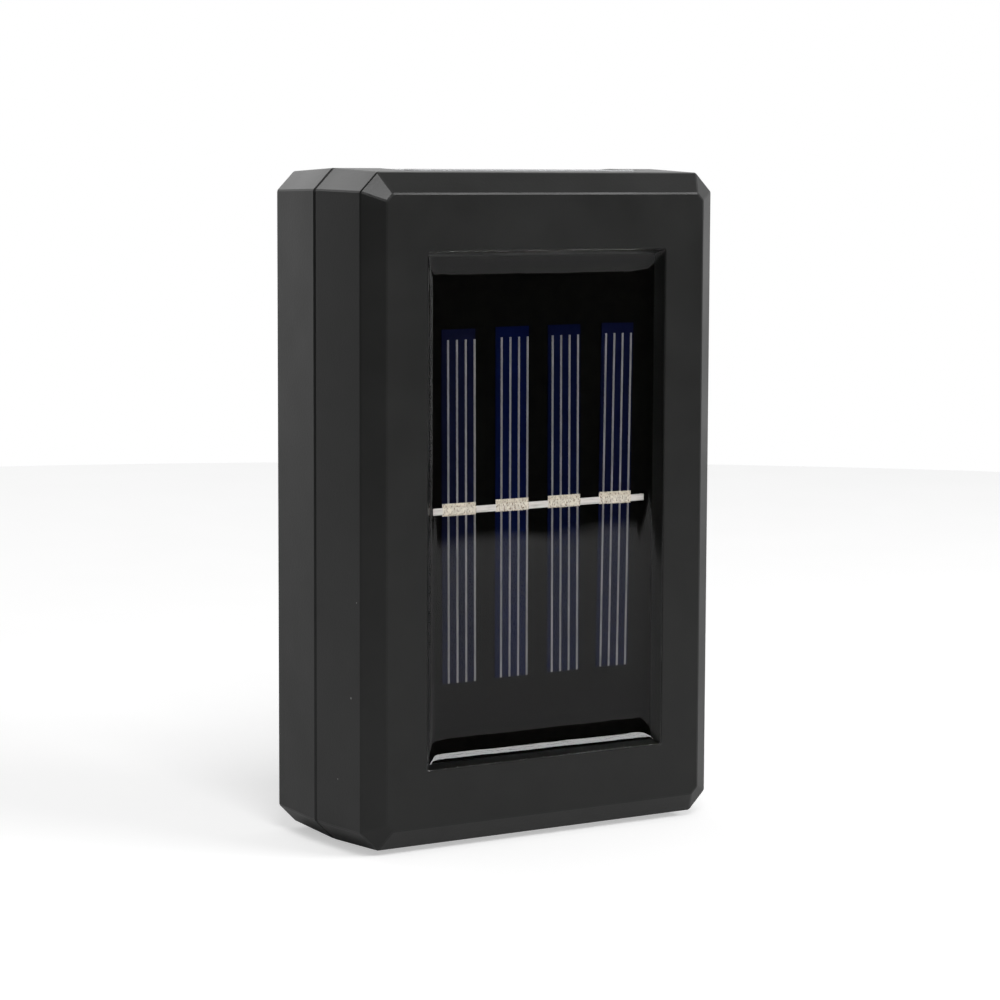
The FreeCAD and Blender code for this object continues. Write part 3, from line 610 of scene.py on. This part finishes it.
def line_mesh(settings, node):
    """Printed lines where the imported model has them, each a low ridge of uneven width."""
    points, faces = [], []
    steps = 90
    unevenness = 0.22
    quick_wave, quick_shift = 1.9, 5
    slow_wave, slow_shift = 0.57, 2
    for number, body in enumerate(islands(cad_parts[node].data)):
        middle_z = sum(p.z for p in body) / len(body)
        middle_x = sum(p.x for p in body) / len(body)
        spread = sum((p.z - middle_z) ** 2 for p in body)
        tilt = sum((p.z - middle_z) * (p.x - middle_x) for p in body) / spread
        low, high = min(p.z for p in body), max(p.z for p in body)
        front, back = min(p.y for p in body), max(p.y for p in body)
        first = len(points)
        for k in range(steps + 1):
            z = low + (high - low) * k / steps
            x = middle_x + tilt * (z - middle_z)
            uneven = sin(quick_wave * k + quick_shift * number) * sin(
                slow_wave * k + slow_shift * number
            )
            half = settings.line_width / 2 * (1 + unevenness * uneven)
            points += [
                (x - half, back, z), (x - half / 2, front, z),
                (x + half / 2, front, z), (x + half, back, z),
            ]
        for k in range(steps):
            base = first + 4 * k
            faces += [
                (base + j, base + (j + 1) % 4, base + 4 + (j + 1) % 4, base + 4 + j)
                for j in range(4)
            ]
        faces += [tuple(first + end + j for j in range(4)) for end in (0, 4 * steps)]
    return mesh_from("printed_lines", points, faces, smooth=False)


def lathe(profile, steps):
    """Mesh turned about Z from (radius, z) points. Points on the axis are shared."""
    points = []
    rings = []
    for radius, z in profile:
        if radius == 0:
            rings.append([len(points)] * steps)
            points.append((0, 0, z))
            continue
        ring = []
        for k in range(steps):
            angle = 2 * pi * k / steps
            ring.append(len(points))
            points.append((radius * cos(angle), radius * sin(angle), z))
        rings.append(ring)
    faces = []
    for lower, upper in zip(rings, rings[1:]):
        for k in range(steps):
            after = (k + 1) % steps
            face = [lower[k], lower[after], upper[after], upper[k]]
            faces.append(tuple(dict.fromkeys(face)))
    return points, faces


def crossed_recess(reach, arm, floor, top):
    """Cutter for a cross recess whose arms narrow towards the floor."""
    work = bmesh.new()
    for turn in (0, pi / 2):
        made = bmesh.ops.create_cube(work, size=1)["verts"]
        for v in made:
            narrow = 0.72 if v.co.z < 0 else 1.0
            v.co.x *= 2 * reach * narrow
            v.co.y *= 2 * arm * narrow
            v.co.z = top if v.co.z > 0 else floor
        bmesh.ops.rotate(work, verts=made, matrix=Matrix.Rotation(turn, 3, "Z"))
    mesh = bpy.data.meshes.new("recess_cutter")
    work.to_mesh(mesh)
    work.free()
    return mesh


def screw_mesh(name, head_radius, head_height, thread_radius, length, pitch):
    """Pan-head tapping screw along Z: head above z = 0 with a cross recess, thread below."""
    steps = 40
    core = thread_radius * 0.72
    crown = [
        (head_radius * cos(a), head_height * (0.38 + 0.62 * sin(a)))
        for a in (k * pi / 16 for k in range(8))
    ]
    tip_z = -length + 0.4 * thread_radius
    profile = [(0, -length), (core * 0.6, -length), (core, tip_z), (core, 0)]
    profile += [(head_radius, 0)] + crown + [(0, head_height)]
    points, faces = lathe(profile, steps)
    head = mesh_from(name, points, faces)
    cutter = bpy.data.objects.new(
        "recess_cutter",
        crossed_recess(0.56 * head_radius, 0.12 * head_radius, 0.4 * head_height, 2 * head_height),
    )
    body = bpy.data.objects.new(name + "_work", head)
    for piece in (cutter, body):
        bpy.context.scene.collection.objects.link(piece)
    cut = body.modifiers.new("recess", "BOOLEAN")
    cut.operation = "DIFFERENCE"
    cut.solver = "EXACT"
    cut.use_self = True
    cut.object = cutter
    depsgraph = bpy.context.evaluated_depsgraph_get()
    result = bpy.data.meshes.new_from_object(body.evaluated_get(depsgraph))
    bpy.data.objects.remove(body)
    bpy.data.objects.remove(cutter)
    ridge_points, ridge_faces = thread_ridge(core, thread_radius, length, pitch, steps)
    work = bmesh.new()
    work.from_mesh(result)
    made = [work.verts.new(p) for p in ridge_points]
    for face in ridge_faces:
        work.faces.new([made[i] for i in face])
    bmesh.ops.recalc_face_normals(work, faces=work.faces)
    work.to_mesh(result)
    work.free()
    result.name = name
    result.shade_smooth()
    result.set_sharp_from_angle(angle=radians(35))
    return result


def thread_ridge(core, crest, length, pitch, steps):
    """A sharp ridge that winds down the shank and dies out at both ends."""
    turns = (length - 1.4 * pitch) / pitch
    total = int(turns * steps)
    inner = core * 0.94
    points = []
    for k in range(total + 1):
        angle = 2 * pi * k / steps
        z = -0.5 * pitch - k / steps * pitch
        fade = min(1.0, k / (0.5 * steps), (total - k) / (0.8 * steps))
        radius = inner + (crest - inner) * fade
        for ring, offset in ((inner, 0.26 * pitch), (radius, 0.0), (inner, -0.26 * pitch)):
            points.append((ring * cos(angle), ring * sin(angle), z + offset))
    faces = []
    for k in range(total):
        for side in range(3):
            after = (side + 1) % 3
            faces.append((3 * k + side, 3 * k + after, 3 * k + 3 + after, 3 * k + 3 + side))
    faces.append((0, 1, 2))
    faces.append((3 * total + 2, 3 * total + 1, 3 * total))
    return points, faces


def placed_copies(mesh, places, turn):
    """One mesh that holds a copy of mesh at each place, turned the same way."""
    work = bmesh.new()
    for place in places:
        first = len(work.verts)
        work.from_mesh(mesh)
        work.verts.ensure_lookup_table()
        moved = work.verts[first:]
        bmesh.ops.transform(work, matrix=Matrix.Translation(place) @ turn.to_4x4(), verts=moved)
    joined = bpy.data.meshes.new(mesh.name + "_set")
    work.to_mesh(joined)
    work.free()
    return joined


# ---- operators -----------------------------------------------------------------
class FENCELIGHT_OT_finish_housing(Operator):
    """Gives both half shells their grained black plastic"""

    bl_idname = "fence_light.finish_housing"
    bl_label = "Finish Housing"

    def execute(self, context):
        material = housing_material(context.scene.fence_light_housing)
        for node in ("front_shell", "back_shell"):
            finish_node(node, material)
        return {"FINISHED"}


class FENCELIGHT_OT_finish_lenses(Operator):
    """Gives the top and bottom lens their clear plastic"""

    bl_idname = "fence_light.finish_lenses"
    bl_label = "Finish Lenses"

    def execute(self, context):
        material = lens_material(context.scene.fence_light_lens)
        for node in ("top_lens", "bottom_lens"):
            finish_node(node, material)
        return {"FINISHED"}


class FENCELIGHT_OT_finish_panel(Operator):
    """Finishes the solar panel: board, cells, printed lines, pads and ribbon"""

    bl_idname = "fence_light.finish_panel"
    bl_label = "Finish Solar Panel"

    def execute(self, context):
        settings = context.scene.fence_light_panel
        finish_node("panel_board", board_material(settings))
        finish_node("solar_cells", cell_material(settings))
        lines = line_mesh(settings, "cell_fingers")
        new_piece(
            "printed_lines", lines, line_material(settings), BODY,
            ["cell_fingers"],
        )
        finish_node("solder_pads", pad_material(settings))
        finish_node("tab_ribbon", ribbon_material(settings))
        return {"FINISHED"}


class FENCELIGHT_OT_pour_resin(Operator):
    """Pours the clear resin over the solar panel"""

    bl_idname = "fence_light.pour_resin"
    bl_label = "Pour Resin"

    def execute(self, context):
        settings = context.scene.fence_light_resin
        new_piece(
            "poured_resin", resin_mesh(settings), resin_material(settings), BODY,
            ["resin_cover"],
        )
        return {"FINISHED"}


class FENCELIGHT_OT_drive_screws(Operator):
    """Makes the housing screws and the board screws, with their recesses and threads"""

    bl_idname = "fence_light.drive_screws"
    bl_label = "Drive Screws"

    def execute(self, context):
        settings = context.scene.fence_light_screws
        steel = steel_material(settings)
        self.housing_screws(settings, steel)
        self.board_screws(settings, steel)
        return {"FINISHED"}

    def housing_screws(self, settings, steel):
        low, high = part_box("housing_screws")
        seat_y = high.y - settings.head_height
        mesh = screw_mesh(
            "housing_screw", settings.head_radius, settings.head_height,
            settings.shank_radius, seat_y - low.y, settings.thread_pitch,
        )
        x = high.x - settings.head_radius
        z = high.z - settings.head_radius
        sides = [(side_x, side_z) for side_x in (-1, 1) for side_z in (-1, 1)]
        places = [Vector((side_x * x, seat_y, side_z * z)) for side_x, side_z in sides]
        head_out = Vector((0, 1, 0)).to_track_quat("Z", "Y").to_matrix()
        copies = placed_copies(mesh, places, head_out)
        new_piece("screws_of_housing", copies, steel, BODY, ["housing_screws"])

    def board_screws(self, settings, steel):
        low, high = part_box("board_screws")
        seat_y = low.y + settings.board_head_height
        mesh = screw_mesh(
            "board_screw", settings.board_head_radius, settings.board_head_height,
            settings.board_shank_radius, high.y - seat_y, settings.thread_pitch,
        )
        x = high.x - settings.board_head_radius
        z = high.z - settings.board_head_radius
        places = [Vector((side * x, seat_y, side * z)) for side in (-1, 1)]
        head_out = Vector((0, -1, 0)).to_track_quat("Z", "Y").to_matrix()
        copies = placed_copies(mesh, places, head_out)
        new_piece("screws_of_board", copies, steel, BODY, ["board_screws"])


class FENCELIGHT_OT_finish_inside(Operator):
    """Finishes the driver board with its parts, the switch, the battery and the wires"""

    bl_idname = "fence_light.finish_inside"
    bl_label = "Finish Inside"

    def execute(self, context):
        plastics = {
            "driver_board": moulded_plastic("circuit_board", (0.02, 0.11, 0.045), 0.35),
            "driver_chip": moulded_plastic("chip_black", (0.02, 0.02, 0.02), 0.5),
            "choke_coil": moulded_plastic("choke_green", (0.05, 0.16, 0.08), 0.3),
            "switch_lever": moulded_plastic("lever_black", (0.018, 0.018, 0.018), 0.42),
            "battery_sleeve": moulded_plastic("sleeve_blue", (0.02, 0.12, 0.26), 0.25),
            "panel_wire_red": moulded_plastic("wire_red", (0.42, 0.02, 0.02), 0.45),
            "battery_wire_red": moulded_plastic("wire_red_battery", (0.42, 0.02, 0.02), 0.45),
            "panel_wire_black": moulded_plastic("wire_black", (0.012, 0.012, 0.012), 0.45),
            "battery_wire_black": moulded_plastic(
                "wire_black_battery", (0.012, 0.012, 0.012), 0.45
            ),
        }
        metals = {
            "top_led_leads": metal("lead_metal_top", (0.7, 0.69, 0.66), 0.35),
            "bottom_led_leads": metal("lead_metal_bottom", (0.7, 0.69, 0.66), 0.35),
            "switch_body": metal("switch_cover", (0.56, 0.56, 0.55), 0.3, stretch=(0.1, 1, 1)),
            "switch_pins": metal("switch_pins", (0.7, 0.69, 0.66), 0.35),
            "battery_cell": metal("battery_can", (0.6, 0.6, 0.59), 0.28, stretch=(0.1, 1, 1)),
            "battery_tabs": metal("battery_tabs", (0.64, 0.63, 0.6), 0.35, stretch=(1, 1, 0.1)),
        }
        for node, finish in {**plastics, **metals}.items():
            finish_node(node, finish.material)
        led = led_material()
        for node in ("top_led", "bottom_led"):
            finish_node(node, led)
        return {"FINISHED"}


def led_material():
    """Clear epoxy over a yellow phosphor."""
    finish = Finish("led_epoxy")
    finish.set(IOR=1.53, Subsurface_Weight=0.3, Coat_Weight=0.6, Coat_Roughness=0.08)
    finish.feed("Base Color", even_colour(finish, (0.78, 0.72, 0.42), size=1.5 * MM))
    finish.feed("Roughness", varied_roughness(finish, 0.2))
    return finish.material


# ---- studio --------------------------------------------------------------------
def seen_ray(tree, *kinds):
    """1 for the given kinds of ray, and 0 for others."""
    path = tree.nodes.new("ShaderNodeLightPath")
    seen = path.outputs[kinds[0]]
    for kind in kinds[1:]:
        either = tree.nodes.new("ShaderNodeMath")
        either.operation = "MAXIMUM"
        tree.links.new(seen, either.inputs[0])
        tree.links.new(path.outputs[kind], either.inputs[1])
        seen = either.outputs[0]
    return seen


def white_world(scene, strength):
    """White where it is seen, and an even light of the given strength elsewhere."""
    world = bpy.data.worlds.new("white_room")
    world.use_nodes = True
    world.cycles.sampling_method = "NONE"
    tree = world.node_tree
    background = tree.nodes["Background"]
    background.inputs["Color"].default_value = (1, 1, 1, 1)
    level = tree.nodes.new("ShaderNodeMapRange")
    level.inputs["To Min"].default_value = strength
    level.inputs["To Max"].default_value = 1.0
    seen = seen_ray(tree, "Is Camera Ray", "Is Glossy Ray", "Is Transmission Ray")
    tree.links.new(seen, level.inputs["Value"])
    tree.links.new(level.outputs["Result"], background.inputs["Strength"])
    scene.world = world


def floor_material(settings):
    """Pale floor, with white added for the camera and through clear parts but not in gloss."""
    finish = Finish("pale_floor")
    colour = even_colour(finish, tuple(settings.floor_colour), size=20 * MM, swing=0.01)
    finish.feed("Base Color", colour)
    finish.set(Roughness=0.9, Specular_IOR_Level=0.0, Emission_Color=(1, 1, 1, 1))
    seen = seen_ray(finish.tree, "Is Camera Ray", "Is Transmission Ray")
    glow = finish.math("MULTIPLY", seen, settings.floor_glow)
    return finish.feed("Emission Strength", glow).material


def studio_floor(settings):
    steps = 96
    z = -settings.floor_drop
    angles = [2 * pi * k / steps for k in range(steps)]
    points = [
        (settings.floor_radius * cos(angle), settings.floor_radius * sin(angle), z)
        for angle in angles
    ]
    mesh = mesh_from("studio_floor", points, [tuple(range(steps))], smooth=False)
    return staged("studio_floor", mesh, floor_material(settings))


def curtain_material(settings):
    """Black cloth that thins out at its foot."""
    finish = Finish("black_curtain")
    finish.set(Roughness=1.0, Specular_IOR_Level=0.0)
    finish.feed("Base Color", even_colour(finish, (0.0015, 0.0015, 0.0015), size=30 * MM))
    split = finish.node("ShaderNodeSeparateXYZ")
    finish.link(finish.place, split.inputs["Vector"])
    height = finish.math("ADD", split.outputs["Z"], settings.floor_drop)
    ragged, fade = 0.8 * MM, 2.4 * MM
    edge = finish.spread(finish.noise(25 * MM), 0.3, 0.7, -ragged, ragged)
    uneven = finish.math("ADD", height, edge)
    finish.feed("Alpha", finish.spread(uneven, 0.0, fade))
    return finish.material


def black_curtain(settings):
    """Black curtain along two sides of the floor's white sheet, which arches over the light.

    Only gloss sees it: it keeps what the front reflects dark.
    """
    along, up = 10, 28
    feet = []
    for first, last in zip(CURTAIN_LINE, CURTAIN_LINE[1:]):
        feet += [Vector(first).lerp(Vector(last), i / along) * MM for i in range(along)]
    feet.append(Vector(CURTAIN_LINE[-1]) * MM)
    points = []
    for foot in feet:
        reach = sqrt(foot.length**2 + settings.floor_drop**2)
        base = -asin(settings.floor_drop / reach)
        out = foot.normalized()
        for j in range(up + 1):
            elevation = base + (settings.curtain_top - base) * j / up
            lean = min(1.0, (elevation - base) / CURTAIN_LEAN)
            distance = reach + (settings.curtain_reach - reach) * lean
            flat = distance * cos(elevation)
            points.append((flat * out.x, flat * out.y, distance * sin(elevation)))
    row = up + 1
    faces = [
        (i * row + j, (i + 1) * row + j, (i + 1) * row + j + 1, i * row + j + 1)
        for i in range(len(feet) - 1)
        for j in range(up)
    ]
    mesh = mesh_from("black_curtain", points, faces)
    curtain = staged("black_curtain", mesh, curtain_material(settings))
    curtain.visible_camera = False
    curtain.visible_diffuse = False
    curtain.visible_shadow = False
    curtain.visible_transmission = False
    return curtain


def staged(name, mesh, material):
    piece = bpy.data.objects.new(name, mesh)
    bpy.context.scene.collection.objects.link(piece)
    mesh.materials.append(material)
    return piece


def soft_light(name, direction, distance, width, height, power):
    """Rectangular lamp that faces the light from the given direction."""
    lamp = bpy.data.lights.new(name, "AREA")
    lamp.shape = "RECTANGLE"
    lamp.size = width
    lamp.size_y = height
    lamp.energy = power
    holder = bpy.data.objects.new(name, lamp)
    towards = Vector(direction).normalized()
    holder.location = towards * distance
    holder.rotation_mode = "QUATERNION"
    holder.rotation_quaternion = towards.to_track_quat("Z", "Y")
    holder.visible_camera = False
    bpy.context.scene.collection.objects.link(holder)
    return holder


def studio_camera(scene, settings):
    back = Vector(
        (
            sin(settings.yaw) * cos(settings.pitch),
            -cos(settings.yaw) * cos(settings.pitch),
            sin(settings.pitch),
        )
    )
    level = Vector((0, 0, 1)).cross(back).normalized()
    above = back.cross(level)
    right = level * cos(settings.roll) + above * sin(settings.roll)
    up = above * cos(settings.roll) - level * sin(settings.roll)
    data = bpy.data.cameras.new("camera")
    data.lens = settings.lens
    data.sensor_width = 36.0
    data.clip_start = 0.01
    camera = bpy.data.objects.new("camera", data)
    camera.matrix_world = Matrix.Translation(settings.camera_place) @ Matrix(
        (right, up, back)
    ).transposed().to_4x4()
    scene.collection.objects.link(camera)
    scene.camera = camera


class FENCELIGHT_OT_set_studio(Operator):
    """Sets the white room, the pale floor, the black curtain, the soft lights and the camera"""

    bl_idname = "fence_light.set_studio"
    bl_label = "Set Studio"

    def execute(self, context):
        scene = context.scene
        settings = scene.fence_light_studio
        scene.view_settings.view_transform = "Standard"
        white_world(scene, settings.world_strength)
        studio_floor(settings)
        black_curtain(settings)
        soft_light("left_light", LEFT_FRONT, LAMP_DISTANCE, 0.35, 0.3, settings.left_light)
        glint = soft_light(
            "left_glint", LEFT_FRONT, GLINT_DISTANCE, 0.3, 0.25, settings.left_glint
        )
        glint.visible_diffuse = False
        soft_light("strip_light", RIGHT_FRONT, LAMP_DISTANCE, 0.5, 0.16, settings.strip_light)
        soft_light("back_light", BEHIND, LAMP_DISTANCE, 0.7, 0.4, settings.back_light)
        studio_camera(scene, settings)
        return {"FINISHED"}


# ---- panel and registration ------------------------------------------------------
SETTINGS = {
    "fence_light_housing": HousingFinish,
    "fence_light_lens": LensFinish,
    "fence_light_panel": PanelFinish,
    "fence_light_resin": ResinShape,
    "fence_light_screws": ScrewShape,
    "fence_light_studio": StudioSettings,
}

STEPS = {
    "fence_light.set_studio": "fence_light_studio",
    "fence_light.finish_housing": "fence_light_housing",
    "fence_light.finish_lenses": "fence_light_lens",
    "fence_light.finish_panel": "fence_light_panel",
    "fence_light.pour_resin": "fence_light_resin",
    "fence_light.drive_screws": "fence_light_screws",
    "fence_light.finish_inside": None,
}


class FENCELIGHT_PT_sidebar(Panel):
    """The fence light's steps, each with its sizes and colours"""

    bl_idname = "FENCELIGHT_PT_sidebar"
    bl_label = "Fence Light"
    bl_space_type = "VIEW_3D"
    bl_region_type = "UI"
    bl_category = "Fence Light"

    def draw(self, context):
        for step, group in STEPS.items():
            box = self.layout.box()
            box.operator(step)
            if group is None:
                continue
            settings = getattr(context.scene, group)
            for name in settings.__annotations__:
                box.prop(settings, name)


OPERATORS = (
    FENCELIGHT_OT_set_studio,
    FENCELIGHT_OT_finish_housing,
    FENCELIGHT_OT_finish_lenses,
    FENCELIGHT_OT_finish_panel,
    FENCELIGHT_OT_pour_resin,
    FENCELIGHT_OT_drive_screws,
    FENCELIGHT_OT_finish_inside,
)
CLASSES = (*SETTINGS.values(), *OPERATORS, FENCELIGHT_PT_sidebar)


def register():
    for made in CLASSES:
        bpy.utils.register_class(made)
    for name, group in SETTINGS.items():
        setattr(bpy.types.Scene, name, PointerProperty(type=group))


def unregister():
    for name in SETTINGS:
        delattr(bpy.types.Scene, name)
    for made in reversed(CLASSES):
        bpy.utils.unregister_class(made)


def main():
    register()
    for step in STEPS:
        group, name = step.split(".")
        getattr(getattr(bpy.ops, group), name)()


if __name__ == "__main__":
    main()
